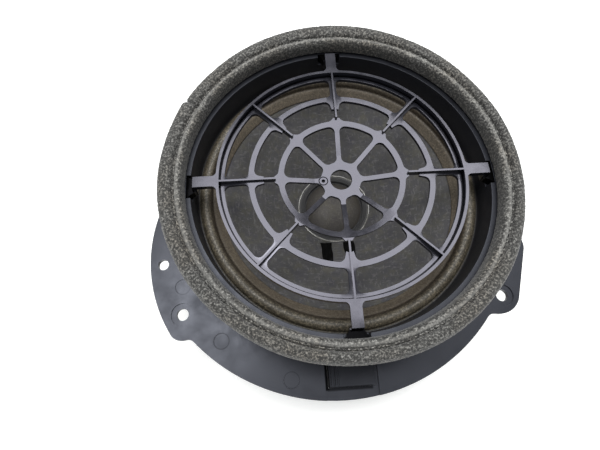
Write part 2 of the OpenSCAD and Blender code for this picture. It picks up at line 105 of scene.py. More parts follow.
DUST = (0.16, 0.155, 0.14)
EVERYWHERE = 200.0


# ---------------------------------------------------------------- sizes and colours to change


def colour_of(name, description, default):
    """A colour that a user may change."""
    return bpy.props.FloatVectorProperty(
        name=name, description=description, default=default, size=3, min=0, max=1,
        subtype="COLOR")


def distance_of(name, description, default, low, high):
    """A length in metres that a user may change."""
    return bpy.props.FloatProperty(
        name=name, description=description, default=default, min=low, max=high,
        subtype="DISTANCE", unit="LENGTH")


class FoamSettings(bpy.types.PropertyGroup):
    """The foam ring round the front."""

    cell_size: distance_of(
        "Cell size", "Width of the foam's open cells", 0.0008, 0.0003, 0.004)
    cell_depth: distance_of(
        "Cell depth", "How far the cells stand in and out", 0.00034, 0.0, 0.001)
    strut_colour: colour_of(
        "Struts", "Colour of the foam between its cells", (0.122, 0.12, 0.112))
    pore_colour: colour_of(
        "Pores", "Colour inside the cells", (0.012, 0.0115, 0.0105))


class PlasticSettings(bpy.types.PropertyGroup):
    """The moulded basket, front ring and grille."""

    colour: colour_of(
        "Plastic", "Colour of the moulded black plastic", (0.0065, 0.0068, 0.009))
    edge_radius: distance_of(
        "Edge radius", "Rounding of the moulded edges", 0.0002, 0.00005, 0.001)
    grille_gloss: bpy.props.FloatProperty(
        name="Grille roughness", description="Roughness of the grille's smooth faces",
        default=0.15, min=0.05, max=1.0, subtype="FACTOR")


class ConeSettings(bpy.types.PropertyGroup):
    """The paper cone, its dust cap and the surround."""

    paper_colour: colour_of(
        "Cone paper", "Colour of the pressed paper", (0.042, 0.041, 0.042))
    cap_colour: colour_of(
        "Dust cap", "Colour of the dust cap", (0.046, 0.041, 0.035))
    surround_colour: colour_of(
        "Surround", "Colour of the foam surround", (0.055, 0.047, 0.033))


class MotorSettings(bpy.types.PropertyGroup):
    """The voice coil, the leads and the screws."""

    wire_diameter: distance_of(
        "Wire", "Diameter of the voice coil's wire", 0.0003, 0.0001, 0.001)
    strand_count: bpy.props.IntProperty(
        name="Lead strands", description="Number of strands in a flexible lead",
        default=6, min=3, max=12)
    screw_count: bpy.props.IntProperty(
        name="Screws", description="Number of screws that hold the front plate",
        default=4, min=4, max=4)


class StageSettings(bpy.types.PropertyGroup):
    """The floor and the light."""

    floor_colour: colour_of(
        "Floor", "Colour of the table top", (0.86, 0.865, 0.845))
    softbox_power: bpy.props.FloatProperty(
        name="Softbox", description="Power of the large light overhead",
        default=11.4, min=0.0, max=200.0, unit="POWER")
    side_power: bpy.props.FloatProperty(
        name="Side light", description="Power of the smaller light overhead on the left",
        default=4.2, min=0.0, max=200.0, unit="POWER")
    room_light: bpy.props.FloatProperty(
        name="Room light", description="Strength of the even light from the room",
        default=0.65, min=0.0, max=2.0)


SETTINGS = {
    "loudspeaker_foam": FoamSettings,
    "loudspeaker_plastic": PlasticSettings,
    "loudspeaker_cone": ConeSettings,
    "loudspeaker_motor": MotorSettings,
    "loudspeaker_stage": StageSettings,
}


# ---------------------------------------------------------------- meshes


def link(obj):
    """Puts a new object in the scene."""
    bpy.context.scene.collection.objects.link(obj)
    return obj


def mesh_object(name, points_mm, faces):
    """A smooth mesh from points in millimetres, with its doubles merged and its faces outwards."""
    mesh = bpy.data.meshes.new(name)
    mesh.from_pydata((np.asarray(points_mm, float) * MM).tolist(), [], faces)
    shell = bmesh.new()
    shell.from_mesh(mesh)
    bmesh.ops.remove_doubles(shell, verts=shell.verts, dist=MERGE_DISTANCE)
    bmesh.ops.recalc_face_normals(shell, faces=shell.faces)
    shell.to_mesh(mesh)
    shell.free()
    mesh.shade_smooth()
    return link(bpy.data.objects.new(name, mesh))


def grid_faces(rows, columns, close_rows=False, close_columns=False):
    """The quads of a grid of points stored row by row."""
    last_row = rows if close_rows else rows - 1
    last_column = columns if close_columns else columns - 1
    i, j = np.meshgrid(np.arange(last_row), np.arange(last_column), indexing="ij")
    below, beside = (i + 1) % rows, (j + 1) % columns
    corners = [i * columns + j, below * columns + j, below * columns + beside, i * columns + beside]
    return np.stack([c.ravel() for c in corners], axis=1).tolist()


def spaced(outline, step):
    """A closed outline of (radius, height) points, spaced evenly along its length."""
    line = np.vstack([outline, outline[:1]])
    along = np.concatenate([[0], np.cumsum(np.linalg.norm(np.diff(line, axis=0), axis=1))])
    at = np.linspace(0, along[-1], max(8, round(along[-1] / step)), endpoint=False)
    return np.stack([np.interp(at, along, line[:, k]) for k in range(2)], axis=1)


def softly(outline, rounds=2):
    """A closed outline with its corners cut back, a little more each round."""
    line = np.asarray(outline, float)
    for _ in range(rounds):
        after = np.roll(line, -1, axis=0)
        line = np.stack([0.75 * line + 0.25 * after, 0.25 * line + 0.75 * after], axis=1)
        line = line.reshape(-1, 2)
    return line


def turned(name, outline, segments, reshape=None):
    """A body of revolution from a closed outline. reshape(radius, angle, height) may alter it."""
    outline = np.asarray(outline, float)
    angle = np.linspace(0, FULL_TURN, segments, endpoint=False)[:, None]
    radius = np.broadcast_to(outline[:, 0], (segments, len(outline)))
    height = np.broadcast_to(outline[:, 1], (segments, len(outline)))
    if reshape:
        radius, height = reshape(radius, angle, height)
    points = np.stack([radius * np.cos(angle), radius * np.sin(angle), height], axis=2)
    faces = grid_faces(segments, len(outline), close_rows=True, close_columns=True)
    return mesh_object(name, points.reshape(-1, 3), faces)


def ripple(angle, seed, waves, falloff=0.7):
    """A smooth random curve round a full turn, from about -1 to 1."""
    draw = np.random.default_rng(seed)
    total = np.zeros_like(angle, dtype=float)
    for k in range(1, waves + 1):
        total += np.sin(k * angle + draw.uniform(0, FULL_TURN)) * draw.uniform(0.5, 1) / k**falloff
    return total / 2.0


def arc(centre, radius, start, end, count=16):
    """Points on an arc, with its angles in degrees."""
    turn = np.radians(np.linspace(start, end, count))
    return np.stack([centre[0] + radius * np.cos(turn), centre[1] + radius * np.sin(turn)], axis=1)


def cone_z(radius):
    """Height of the cone's front face at a radius."""
    return np.interp(radius, *zip(CONE_NECK, CONE_BEND, CONE_EDGE))


def made_mesh(obj):
    """A plain mesh of what an object's modifiers make."""
    graph = bpy.context.evaluated_depsgraph_get()
    return bpy.data.meshes.new_from_object(obj.evaluated_get(graph), depsgraph=graph)


def settled(obj):
    """Turns what the modifiers make into the object's own mesh."""
    made = made_mesh(obj)
    obj.modifiers.clear()
    obj.data = made
    return obj


def merged(node, name, flat_crease=SHARP_ANGLE):
    """A merged copy of a CAD node, which stands for the node. It is creased at sharp bends, and
    between two faces that both look up or down at any bend past flat_crease."""
    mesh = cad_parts[node].data.copy()
    obj = link(bpy.data.objects.new(name, mesh))
    for kept in ("custom_normal", "sharp_face", "sharp_edge"):
        if kept in mesh.attributes:
            mesh.attributes.remove(mesh.attributes[kept])
    shell = bmesh.new()
    shell.from_mesh(mesh)
    bmesh.ops.remove_doubles(shell, verts=shell.verts, dist=MERGE_DISTANCE)
    for face in shell.faces:
        face.smooth = True
    for edge in shell.edges:
        if len(edge.link_faces) == 2:
            level = min(abs(face.normal.z) for face in edge.link_faces)
            edge.smooth = edge.calc_face_angle(0) < (
                flat_crease if level > 0.6 else SHARP_ANGLE)
    shell.to_mesh(mesh)
    shell.free()
    mesh.materials.clear()
    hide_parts(node)
    return obj


def softened(node, name, width):
    """A merged copy of a simple CAD node with its sharp edges rounded."""
    obj = merged(node, name)
    shell = bmesh.new()
    shell.from_mesh(obj.data)
    bmesh.ops.dissolve_limit(
        shell, angle_limit=math.radians(0.3), verts=shell.verts, edges=shell.edges)
    shell.to_mesh(obj.data)
    shell.free()
    bevel = obj.modifiers.new("Edges", "BEVEL")
    bevel.width = width
    bevel.segments = 2
    bevel.limit_method = "ANGLE"
    bevel.angle_limit = SHARP_ANGLE
    bevel.use_clamp_overlap = False
    bevel.harden_normals = True
    return settled(obj)


def finish_piece(obj, body, material=None, node=None):
    """Gives a piece its material, its body and the CAD node that it stands for."""
    if node:
        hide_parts(node)
    if material:
        obj.data.materials.clear()
        obj.data.materials.append(material)
    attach(obj, body)
    return obj


def bend_across(obj, outer, inner):
    """Bakes a round piece's place into its mesh and works out how far each point lies between its
    outer radius, next to the fixed frame, and its inner radius, next to the cone; nothing uses that
    share, so the piece does not bend."""
    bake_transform(obj)
    points = np.zeros(len(obj.data.vertices) * 3)
    obj.data.vertices.foreach_get("co", points)
    radius = np.hypot(*(points.reshape(-1, 3) / MM)[:, :2].T)
    share = np.clip((outer - radius) / (outer - inner), 0, 1)
    share = share * share * (3 - 2 * share)
    return obj


# ---------------------------------------------------------------- geometry nodes


class Tree:
    """A node tree built step by step. Each call adds a node and joins what it is given."""

    def __init__(self, tree):
        self.tree = tree

    def add(self, kind, settings=None, **inputs):
        """Adds a node. Inputs are named with underscores for spaces, or in0, in1 by place."""
        node = self.tree.nodes.new(kind)
        for key, value in (settings or {}).items():
            setattr(node, key, value)
        for key, value in inputs.items():
            place = int(key[2:]) if key[:2] == "in" and key[2:].isdigit() else None
            socket = node.inputs[key.replace("_", " ") if place is None else place]
            if isinstance(value, bpy.types.NodeSocket):
                self.tree.links.new(value, socket)
            elif value is not None:
                socket.default_value = value
        return node

    def math(self, operation, first, second=0.0, third=0.0):
        """Does sums on numbers."""
        node = self.add(
            "ShaderNodeMath", {"operation": operation}, in0=first, in1=second, in2=third)
        return node.outputs[0]

    def vector(self, operation, first, second=None, scale=None):
        """Does sums on vectors."""
        node = self.add("ShaderNodeVectorMath", {"operation": operation}, in0=first, in1=second)
        if scale is not None:
            if isinstance(scale, bpy.types.NodeSocket):
                self.tree.links.new(scale, node.inputs["Scale"])
            else:
                node.inputs["Scale"].default_value = scale
        return node.outputs["Value" if operation in ("LENGTH", "DOT_PRODUCT") else 0]


def shape_tree(name, sockets):
    """A geometry node tree with named inputs: {name: (socket type, default or None)}."""
    group = bpy.data.node_groups.new(name, "GeometryNodeTree")
    group.interface.new_socket("Geometry", in_out="INPUT", socket_type="NodeSocketGeometry")
    group.interface.new_socket("Geometry", in_out="OUTPUT", socket_type="NodeSocketGeometry")
    for label, (kind, default) in sockets.items():
        item = group.interface.new_socket(label, in_out="INPUT", socket_type=kind)
        if default is not None:
            item.default_value = default
    tree = Tree(group)
    start = tree.add("NodeGroupInput")
    return tree, {s.name: s for s in start.outputs if s.name}


def close_shape_tree(tree, geometry, material):
    """Ends a geometry node tree in Realize Instances and Set Material."""
    real = tree.add("GeometryNodeRealizeInstances", Geometry=geometry)
    painted = tree.add("GeometryNodeSetMaterial", Geometry=real.outputs[0], Material=material)
    tree.add("NodeGroupOutput", in0=painted.outputs[0])
    return tree.tree


def set_tree(obj, group, values):
    """Puts a geometry node tree on an object, with the tree's inputs by name."""
    modifier = obj.modifiers.new(group.name, "NODES")
    modifier.node_group = group
    for item in group.interface.items_tree:
        if item.item_type == "SOCKET" and item.in_out == "INPUT" and item.name in values:
            modifier[item.identifier] = values[item.name]
    obj.update_tag()
    bpy.context.view_layer.update()


def shaped(obj, group, values):
    """Runs a geometry node tree on an object, and keeps the result as a plain mesh."""
    set_tree(obj, group, values)
    return settled(obj)


def empty_mesh(name):
    """An object with no points, for a tree that makes all of a piece."""
    return link(bpy.data.objects.new(name, bpy.data.meshes.new(name)))


def tidy_mesh(obj):
    """Merges a made mesh's doubles, turns its faces outwards and shades it smooth."""
    shell = bmesh.new()
    shell.from_mesh(obj.data)
    bmesh.ops.remove_doubles(shell, verts=shell.verts, dist=MERGE_DISTANCE)
    bmesh.ops.recalc_face_normals(shell, faces=shell.faces)
    shell.to_mesh(obj.data)
    shell.free()
    obj.data.shade_smooth()
    obj.data.set_sharp_from_angle(angle=math.radians(35))
    return obj


def open_cell_tree():
    """Pushes a surface in and out in open cells."""
    tree, given = shape_tree("Open cells", {
        "Cell size": ("NodeSocketFloat", 0.001),
        "Depth": ("NodeSocketFloat", 0.0003),
        "Seed": ("NodeSocketFloat", 3.0),
        "Material": ("NodeSocketMaterial", None),
    })
    place = tree.add("GeometryNodeInputPosition").outputs[0]
    fineness = tree.math("DIVIDE", 1.0, given["Cell size"])
    noise = tree.add(
        "ShaderNodeTexNoise", {"noise_dimensions": "4D"}, Vector=place, W=given["Seed"],
        Scale=fineness, Detail=1.5, Roughness=0.6)
    cells = tree.add(
        "ShaderNodeTexVoronoi", {"feature": "F1"}, Vector=place, Scale=fineness, Randomness=1.0)
    pits = tree.math("MULTIPLY_ADD", cells.outputs["Distance"], -0.9, 0.45)
    lumps = tree.math("MULTIPLY_ADD", noise.outputs[0], 2.0, -1.0)
    height = tree.math("MULTIPLY", tree.math("ADD", pits, lumps), given["Depth"])
    normal = tree.add("GeometryNodeInputNormal").outputs[0]
    offset = tree.vector("SCALE", normal, scale=height)
    moved = tree.add("GeometryNodeSetPosition", Geometry=given["Geometry"], Offset=offset)
    return close_shape_tree(tree, moved.outputs[0], given["Material"])


def ring_of_parts_tree():
    """Sets a part at even steps round a circle, each turned by its own random angle."""
    tree, given = shape_tree("Ring of parts", {
        "Part": ("NodeSocketObject", None),
        "Count": ("NodeSocketInt", 4),
        "Radius": ("NodeSocketFloat", 0.03),
        "First angle": ("NodeSocketFloat", 0.0),
        "Height": ("NodeSocketFloat", 0.0),
        "Seed": ("NodeSocketInt", 5),
        "Material": ("NodeSocketMaterial", None),
    })
    circle = tree.add("GeometryNodeMeshCircle", Vertices=given["Count"], Radius=given["Radius"])
    turn = tree.add("ShaderNodeCombineXYZ", Z=given["First angle"])
    lift = tree.add("ShaderNodeCombineXYZ", Z=given["Height"])
    placed = tree.add(
        "GeometryNodeTransform", Geometry=circle.outputs[0], Translation=lift.outputs[0],
        Rotation=turn.outputs[0])
    spin = tree.add(
        "FunctionNodeRandomValue", {"data_type": "FLOAT"}, in3=FULL_TURN, Seed=given["Seed"])
    about = tree.add("ShaderNodeCombineXYZ", Z=spin.outputs[1])
    part = tree.add("GeometryNodeObjectInfo", Object=given["Part"])
    copies = tree.add(
        "GeometryNodeInstanceOnPoints", Points=placed.outputs[0],
        Instance=part.outputs["Geometry"], Rotation=about.outputs[0])
    return close_shape_tree(tree, copies.outputs[0], given["Material"])


def winding_tree():
    """Lays turns of wire side by side round a tube."""
    tree, given = shape_tree("Winding", {
        "Wire diameter": ("NodeSocketFloat", 0.0003),
        "Radius": ("NodeSocketFloat", 0.016),
        "Bottom": ("NodeSocketFloat", 0.0),
        "Turns": ("NodeSocketInt", 30),
        "Material": ("NodeSocketMaterial", None),
    })
    circle = tree.add("GeometryNodeCurvePrimitiveCircle", Resolution=72, Radius=given["Radius"])
    half = tree.math("MULTIPLY", given["Wire diameter"], 0.5)
    section = tree.add("GeometryNodeCurvePrimitiveCircle", Resolution=6, Radius=half)
    wire = tree.add("GeometryNodeCurveToMesh", in0=circle.outputs[0], in1=section.outputs[0])
    start = tree.add("ShaderNodeCombineXYZ", Z=given["Bottom"])
    step = tree.add("ShaderNodeCombineXYZ", Z=given["Wire diameter"])
    line = tree.add(
        "GeometryNodeMeshLine", Count=given["Turns"], Start_Location=start.outputs[0],
        Offset=step.outputs[0])
    copies = tree.add(
        "GeometryNodeInstanceOnPoints", Points=line.outputs[0], Instance=wire.outputs[0])
    return close_shape_tree(tree, copies.outputs[0], given["Material"])


def braid_tree():
    """Winds strands round a route, half of them each way."""
    tree, given = shape_tree("Braid", {
        "Strands": ("NodeSocketInt", 6),
        "Radius": ("NodeSocketFloat", 0.0005),
        "Strand radius": ("NodeSocketFloat", 0.0002),
        "Turns": ("NodeSocketFloat", 7.0),
        "Material": ("NodeSocketMaterial", None),
    })
    route = tree.add("GeometryNodeResampleCurve", Curve=given["Geometry"], Count=110)
    copies = tree.add(
        "GeometryNodeDuplicateElements", {"domain": "SPLINE"}, Geometry=route.outputs[0],
        Amount=given["Strands"])
    number = copies.outputs["Duplicate Index"]
    along = tree.add("GeometryNodeSplineParameter").outputs["Factor"]
    side = tree.math("MULTIPLY_ADD", tree.math("MODULO", number, 2.0), 2.0, -1.0)
    phase = tree.math("MULTIPLY", tree.math("DIVIDE", number, given["Strands"]), FULL_TURN)
    wound = tree.math("MULTIPLY", tree.math("MULTIPLY", along, given["Turns"]), FULL_TURN)
    angle = tree.math("ADD", tree.math("MULTIPLY", wound, side), phase)
    weave = tree.math("MULTIPLY_ADD", tree.math("SINE", tree.math("MULTIPLY", wound, 3.0)),
                      tree.math("MULTIPLY", side, 0.15), 1.0)
    reach = tree.math("MULTIPLY", given["Radius"], weave)
    normal = tree.add("GeometryNodeInputNormal").outputs[0]
    tangent = tree.add("GeometryNodeInputTangent").outputs[0]
    other = tree.vector("CROSS_PRODUCT", tangent, normal)
    across = tree.vector("SCALE", normal, scale=tree.math("COSINE", angle))
    upward = tree.vector("SCALE", other, scale=tree.math("SINE", angle))
    offset = tree.vector("SCALE", tree.vector("ADD", across, upward), scale=reach)
    # The offset is stored first, because moving the points would turn the normals it reads.
    stored = tree.add(
        "GeometryNodeStoreNamedAttribute", {"data_type": "FLOAT_VECTOR", "domain": "POINT"},
        Geometry=copies.outputs[0], Name="strand_offset", Value=offset)
    kept = tree.add(
        "GeometryNodeInputNamedAttribute", {"data_type": "FLOAT_VECTOR"}, Name="strand_offset")
    moved = tree.add(
        "GeometryNodeSetPosition", Geometry=stored.outputs[0], Offset=kept.outputs[0])
    section = tree.add(
        "GeometryNodeCurvePrimitiveCircle", Resolution=6, Radius=given["Strand radius"])
    strands = tree.add(
        "GeometryNodeCurveToMesh", in0=moved.outputs[0], in1=section.outputs[0], Fill_Caps=True)
    return close_shape_tree(tree, strands.outputs[0], given["Material"])


# ---------------------------------------------------------------- materials


def rgba(colour, share=1.0):
    """A colour with its alpha, darkened to a share of itself."""
    return (colour[0] * share, colour[1] * share, colour[2] * share, 1.0)


def shade(colour, share):
    """A colour made darker or lighter, without an alpha."""
    return [min(1, part * share) for part in colour]


class Finish(Tree):
    """A material with a Principled shader, and patterns that read the Object coordinates."""

    def __init__(self, name, colour, roughness, **values):
        self.material = bpy.data.materials.new(name)
        self.material.use_nodes = True
        self.material.diffuse_color = rgba(colour)
        super().__init__(self.material.node_tree)
        self.shader = self.tree.nodes["Principled BSDF"]
        self.place = self.add("ShaderNodeTexCoord").outputs["Object"]
        self.shader.inputs["Base Color"].default_value = rgba(colour)
        self.shader.inputs["Roughness"].default_value = roughness
        for key, value in values.items():
            self.shader.inputs[key.replace("_", " ")].default_value = value
        self.bumps = None

    def noise(self, size_mm, detail=2.0, roughness=0.55, stretch=None):
        """A noise whose features are about size_mm across, from 0 to 1."""
        place = self.place
        if stretch:
            place = self.add("ShaderNodeMapping", Vector=place, Scale=stretch).outputs[0]
        return self.add(
            "ShaderNodeTexNoise", Vector=place, Scale=1000.0 / size_mm, Detail=detail,
            Roughness=roughness).outputs[0]

    def cells(self, size_mm):
        """Distance to the middle of cells about size_mm across."""
        return self.add(
            "ShaderNodeTexVoronoi", {"feature": "F1"}, Vector=self.place,
            Scale=1000.0 / size_mm).outputs["Distance"]

    def ramp(self, value, *stops):
        """A colour ramp through (position, colour or grey) stops."""
        node = self.add("ShaderNodeValToRGB", in0=value)
        band = node.color_ramp
        while len(band.elements) < len(stops):
            band.elements.new(0.5)
        for element, (position, tone) in zip(band.elements, stops):
            element.position = position
            element.color = rgba(tone if hasattr(tone, "__len__") else (tone, tone, tone))
        return node.outputs[0]

    def mix(self, share, first, second, blend="MIX"):
        """Mixes two colours or colour sockets."""
        node = self.add("ShaderNodeMix", {"data_type": "RGBA", "blend_type": blend}, in0=share)
        for place, value in ((6, first), (7, second)):
            if isinstance(value, bpy.types.NodeSocket):
                self.tree.links.new(value, node.inputs[place])
            else:
                node.inputs[place].default_value = rgba(value)
        return node.outputs[2]

    def lay(self, under, mask, share, over, blend="MIX"):
        """Lays a colour over another where a mask is 1, to a share of the whole."""
        return self.mix(self.math("MULTIPLY", mask, share), under, over, blend)

    def span(self, value, low, high, start=0.0, end=1.0):
        """Goes from start to end as a value goes from low to high."""
        return self.add(
            "ShaderNodeMapRange", Value=value, From_Min=low, From_Max=high, To_Min=start,
            To_Max=end).outputs[0]

    def radius(self):
        """Distance from the loudspeaker's axis, in millimetres."""
        flat = self.vector("MULTIPLY", self.place, (1000.0, 1000.0, 0.0))
        return self.vector("LENGTH", flat)

    def band(self, value, low, high, edge):
        """1 between low and high, and 0 outside, with soft edges."""
        rise = self.span(value, low - edge, low + edge)
        fall = self.span(value, high - edge, high + edge, 1.0, 0.0)
        return self.math("MULTIPLY", rise, fall)

    def bump(self, height, depth_mm, strength=1.0):
        """Adds relief of a depth to what is there."""
        node = self.add(
            "ShaderNodeBump", Height=height, Strength=strength, Distance=depth_mm * MM,
            Normal=self.bumps)
        self.bumps = node.outputs[0]

    def done(self, colour, roughness=None):
        """Joins the colour, roughness and relief to the shader, and gives the material."""
        for name, value in (
                ("Base Color", colour), ("Roughness", roughness), ("Normal", self.bumps)):
            if value is not None:
                self.tree.links.new(value, self.shader.inputs[name])
        return self.material


def painted_recess_shade(f, rings, boxes):
    """How much painted shade falls in the recesses, grooves, gaps and shadowed faces of a moulding,
    from 0 to 1. A ring is (x, y, inner radius, outer radius, top, share) and a box is (left, right,
    front, back, share), in millimetres."""
    dark = 0.0
    ring_edge, box_edge_x, box_edge_y, top_edge = 0.07, 0.2, 0.3, 0.05
    place = f.add("ShaderNodeSeparateXYZ", Vector=f.vector("SCALE", f.place, scale=1000.0))
    for x, y, inner, outer, top, share in rings:
        away = f.vector("SUBTRACT", f.place, (x * MM, y * MM, 0.0))
        away = f.vector("LENGTH", f.vector("MULTIPLY", away, (1000.0, 1000.0, 0.0)))
        low = f.band(place.outputs[2], -EVERYWHERE, top, top_edge)
        ring = f.math("MULTIPLY", f.band(away, inner, outer, ring_edge), low)
        dark = f.math("MAXIMUM", f.math("MULTIPLY", ring, share), dark)
    for left, right, front, back, share in boxes:
        box = f.math("MULTIPLY", f.band(place.outputs[0], left, right, box_edge_x),
                     f.band(place.outputs[1], front, back, box_edge_y))
        dark = f.math("MAXIMUM", f.math("MULTIPLY", box, share), dark)
    return dark


def moulded_plastic(name, colour, roughness, grain_mm=0.25, grain_depth=0.012, ior=1.5,
                    rings=(), boxes=(), tint=(0.83, 0.87, 1.0)):
    """Moulded black plastic: fine spark texture, faint flow marks, handling haze, dust and, where
    rings or boxes are given, painted shade in its recesses.
    """
    f = Finish(name, colour, roughness, IOR=ior, Specular_Tint=rgba(tint))
    flow = f.noise(38.0, 3.0, 0.5)
    haze = f.noise(9.0, 4.0, 0.6)
    grain = f.noise(grain_mm, 2.0)
    tone = f.ramp(flow, (0.3, shade(colour, 0.8)), (0.7, shade(colour, 1.25)))
    dust = f.ramp(f.noise(1.3, 2.0, 0.7), (0.7, 0.0), (0.8, 1.0))
    tone = f.lay(tone, dust, 0.12, DUST)
    rough = f.span(haze, 0.3, 0.7, roughness - 0.06, roughness + 0.08)
    f.bump(grain, grain_depth)
    f.bump(flow, 0.02, 0.4)
    if rings or boxes:
        # Painted shade: where the rings and boxes mark recesses, grooves, gaps and shadowed faces,
        # the colour goes towards black and the reflection is dulled.
        dark = painted_recess_shade(f, rings, boxes)
        tone = f.mix(dark, tone, PAINTED_SHADE_BLACK)
        f.tree.links.new(f.span(dark, 0.0, 1.0, 0.5, 0.02), f.shader.inputs["Specular IOR Level"])
    return f.done(tone, rough)


# Painted light and shade on the foam: inner and outer radius, softness, share and lightness, for a
# painted highlight on the crest between the grooves and painted shade on the inner wall and the
# outer flank.
FOAM_LIGHT_AND_SHADE = (
    (78.6, 80.4, 0.5, 0.4, 1.9), (60.0, 77.9, 0.6, 0.6, 0.2), (82.0, 99.0, 0.8, 0.4, 0.3))


def open_cell_foam(name, strut, pore):
    """Coarse open-cell foam: dark pores, pale struts, brown patches, painted shade in the sunken
    edges of its cells, a painted highlight on its smooth crest and painted shade on its inner wall
    and outer flank.
    """
    f = Finish(name, strut, 0.85, Sheen_Weight=0.15, Sheen_Roughness=0.5)
    speck = f.noise(1.0, 3.0, 0.75)
    tone = f.ramp(speck, (0.44, pore), (0.49, shade(strut, 0.45)),
                  (0.54, strut), (0.61, shade(strut, 2.7)))
    # Painted shade: the cells' edges, where the open cells sink the surface, are darkened and their
    # middles lightened.
    cell_shade = f.ramp(f.cells(0.8), (0.0, 1.15), (0.55, 0.75), (0.95, 0.35))
    tone = f.mix(0.55, tone, cell_shade, "MULTIPLY")
    brown = f.ramp(f.noise(17.0, 3.0, 0.6), (0.42, 0.0), (0.68, 1.0))
    tone = f.lay(tone, brown, 0.38, (1.0, 0.83, 0.62), "MULTIPLY")
    radius = f.radius()
    # Painted highlight on the crest and painted shade on the inner wall and the outer flank.
    for low, high, edge, share, light in FOAM_LIGHT_AND_SHADE:
        tone = f.lay(tone, f.band(radius, low, high, edge), share, shade(strut, light))
    f.bump(speck, 0.35, 0.8)
    f.bump(f.noise(0.4, 2.0), 0.12, 0.7)
    return f.done(tone)


def skinned_foam(name, colour):
    """The surround: thin foam with a dull skin, painted pale glints, darker, browner painted shade
    in its fold and near-black painted shade past its roll.
    """
    f = Finish(name, colour, 0.5, IOR=1.45)
    radius = f.radius()
    patch = f.ramp(f.noise(14.0, 3.0), (0.35, shade(colour, 0.75)),
                   (0.65, shade(colour, 1.2)))
    speck = f.noise(1.0, 2.0, 0.8)
    # Painted highlights: pale glints laid into the colour, where the skin is also glossier.
    glints = f.ramp(speck, (0.52, 0.0), (0.6, 1.0))
    tone = f.lay(patch, glints, 0.6, shade(colour, 3.4))
    pores = f.ramp(speck, (0.36, 1.0), (0.46, 0.0))
    tone = f.lay(tone, pores, 0.6, shade(colour, 0.3))
    skirt = f.band(radius, 60.0, 66.0, 0.5)
    tone = f.lay(tone, skirt, 0.4, (0.125, 0.1, 0.075))
    # Painted shade: the fold between the roll and the skirt is darkened and browned.
    fold = f.band(radius, 65.9, 67.6, 0.5)
    tone = f.lay(tone, fold, 0.6, (0.022, 0.014, 0.008))
    # Painted shade: past the roll, the landing towards the wall is near black.
    rim = f.band(radius, 73.0, EVERYWHERE, 0.35)
    tone = f.mix(rim, tone, (0.008, 0.0075, 0.007))
    rough = f.ramp(speck, (0.35, 0.62), (0.6, 0.42), (0.7, 0.25))
    f.bump(speck, 0.12, 0.9)
    f.bump(f.noise(3.5, 2.0), 0.15, 0.5)
    return f.done(tone, rough)


def pressed_paper(name, colour, olive=0.3, fibre_mm=0.8, coat=0.0, edge=None):
    """Pressed fibrous paper: crossed fibres, olive and violet patches and pale flecks. An edge is
    the radius in millimetres towards which it darkens with painted shade, from half that radius,
    and past which it is dark grey."""
    f = Finish(name, colour, 0.72, Coat_Weight=coat, Coat_Roughness=0.35)
    patch = f.noise(7.0, 4.0, 0.6)
    tone = f.ramp(patch, (0.32, (colour[0] * 0.86, colour[1] * 0.84, colour[2] * 0.98)),
                  (0.5, colour), (0.68, (colour[0] * 1.15, colour[1] * 1.13, colour[2] * 0.92)))
    across = f.noise(fibre_mm, 3.0, 0.7, (1.0, 0.22, 1.0))
    along = f.noise(fibre_mm, 3.0, 0.7, (0.22, 1.0, 1.0))
    fibres = f.math("MAXIMUM", across, along)
    light = f.ramp(fibres, (0.56, 0.0), (0.68, 1.0))
    tone = f.lay(tone, light, 0.7, shade(colour, 2.6))
    dark = f.ramp(f.noise(2.2, 3.0, 0.7), (0.32, 1.0), (0.45, 0.0))
    tone = f.lay(tone, dark, 0.4, shade(colour, 0.55))
    green = f.ramp(f.noise(4.5, 2.0), (0.55, 0.0), (0.7, 1.0))
    tone = f.lay(tone, green, olive, (0.075, 0.07, 0.046))
    if edge:
        # Painted shade: the colour darkens from half the edge radius out to the edge, where the
        # dome bends down.
        outward = f.span(f.radius(), edge * 0.5, edge)
        tone = f.lay(tone, outward, 0.75, (0.018, 0.015, 0.012))
        tone = f.mix(f.band(f.radius(), edge, EVERYWHERE, 0.15), tone, (0.03, 0.03, 0.031))
    f.bump(fibres, 0.09, 0.8)
    f.bump(patch, 0.12, 0.5)
    return f.done(tone)


def worn_metal(name, colour, roughness, turned_marks=0.0):
    """Plated metal with a slight mottle, fine scratches and, where it is turned, rings."""
    f = Finish(name, colour, roughness, Metallic=1.0)
    mottle = f.noise(4.0, 4.0, 0.65)
    tone = f.ramp(mottle, (0.3, shade(colour, 0.72)), (0.7, colour))
    scratch = f.noise(0.35, 3.0, 0.7, (1.0, 0.08, 1.0))
    rough = f.span(scratch, 0.3, 0.7, roughness - 0.08, roughness + 0.12)
    f.bump(scratch, 0.01)
    if turned_marks:
        rings = f.math("SINE", f.math("MULTIPLY", f.radius(), FULL_TURN / turned_marks))
        f.bump(rings, 0.004)
    return f.done(tone, rough)


def sintered_ferrite(name):
    """Dull grey-black ferrite with fine pits and chalky grinding haze."""
    colour = (0.05, 0.05, 0.053)
    f = Finish(name, colour, 0.62)
    mottle = f.noise(3.0, 4.0, 0.7)
    tone = f.ramp(mottle, (0.35, shade(colour, 0.75)), (0.65, shade(colour, 1.5)))
    pits = f.ramp(f.cells(1.4), (0.08, 0.0), (0.16, 1.0))
    f.bump(pits, 0.05, 0.6)
    f.bump(f.noise(0.3), 0.01)
    return f.done(tone)


def glossy_glue(name, colour, roughness, lump_mm=0.9, **values):
    """Set glue: wet gloss with lumps."""
    f = Finish(name, colour, roughness, **values)
    lumps = f.noise(lump_mm, 3.0)
    tone = f.ramp(lumps, (0.3, shade(colour, 0.65)), (0.7, shade(colour, 1.3)))
    f.bump(lumps, 0.08)
    return f.done(tone)


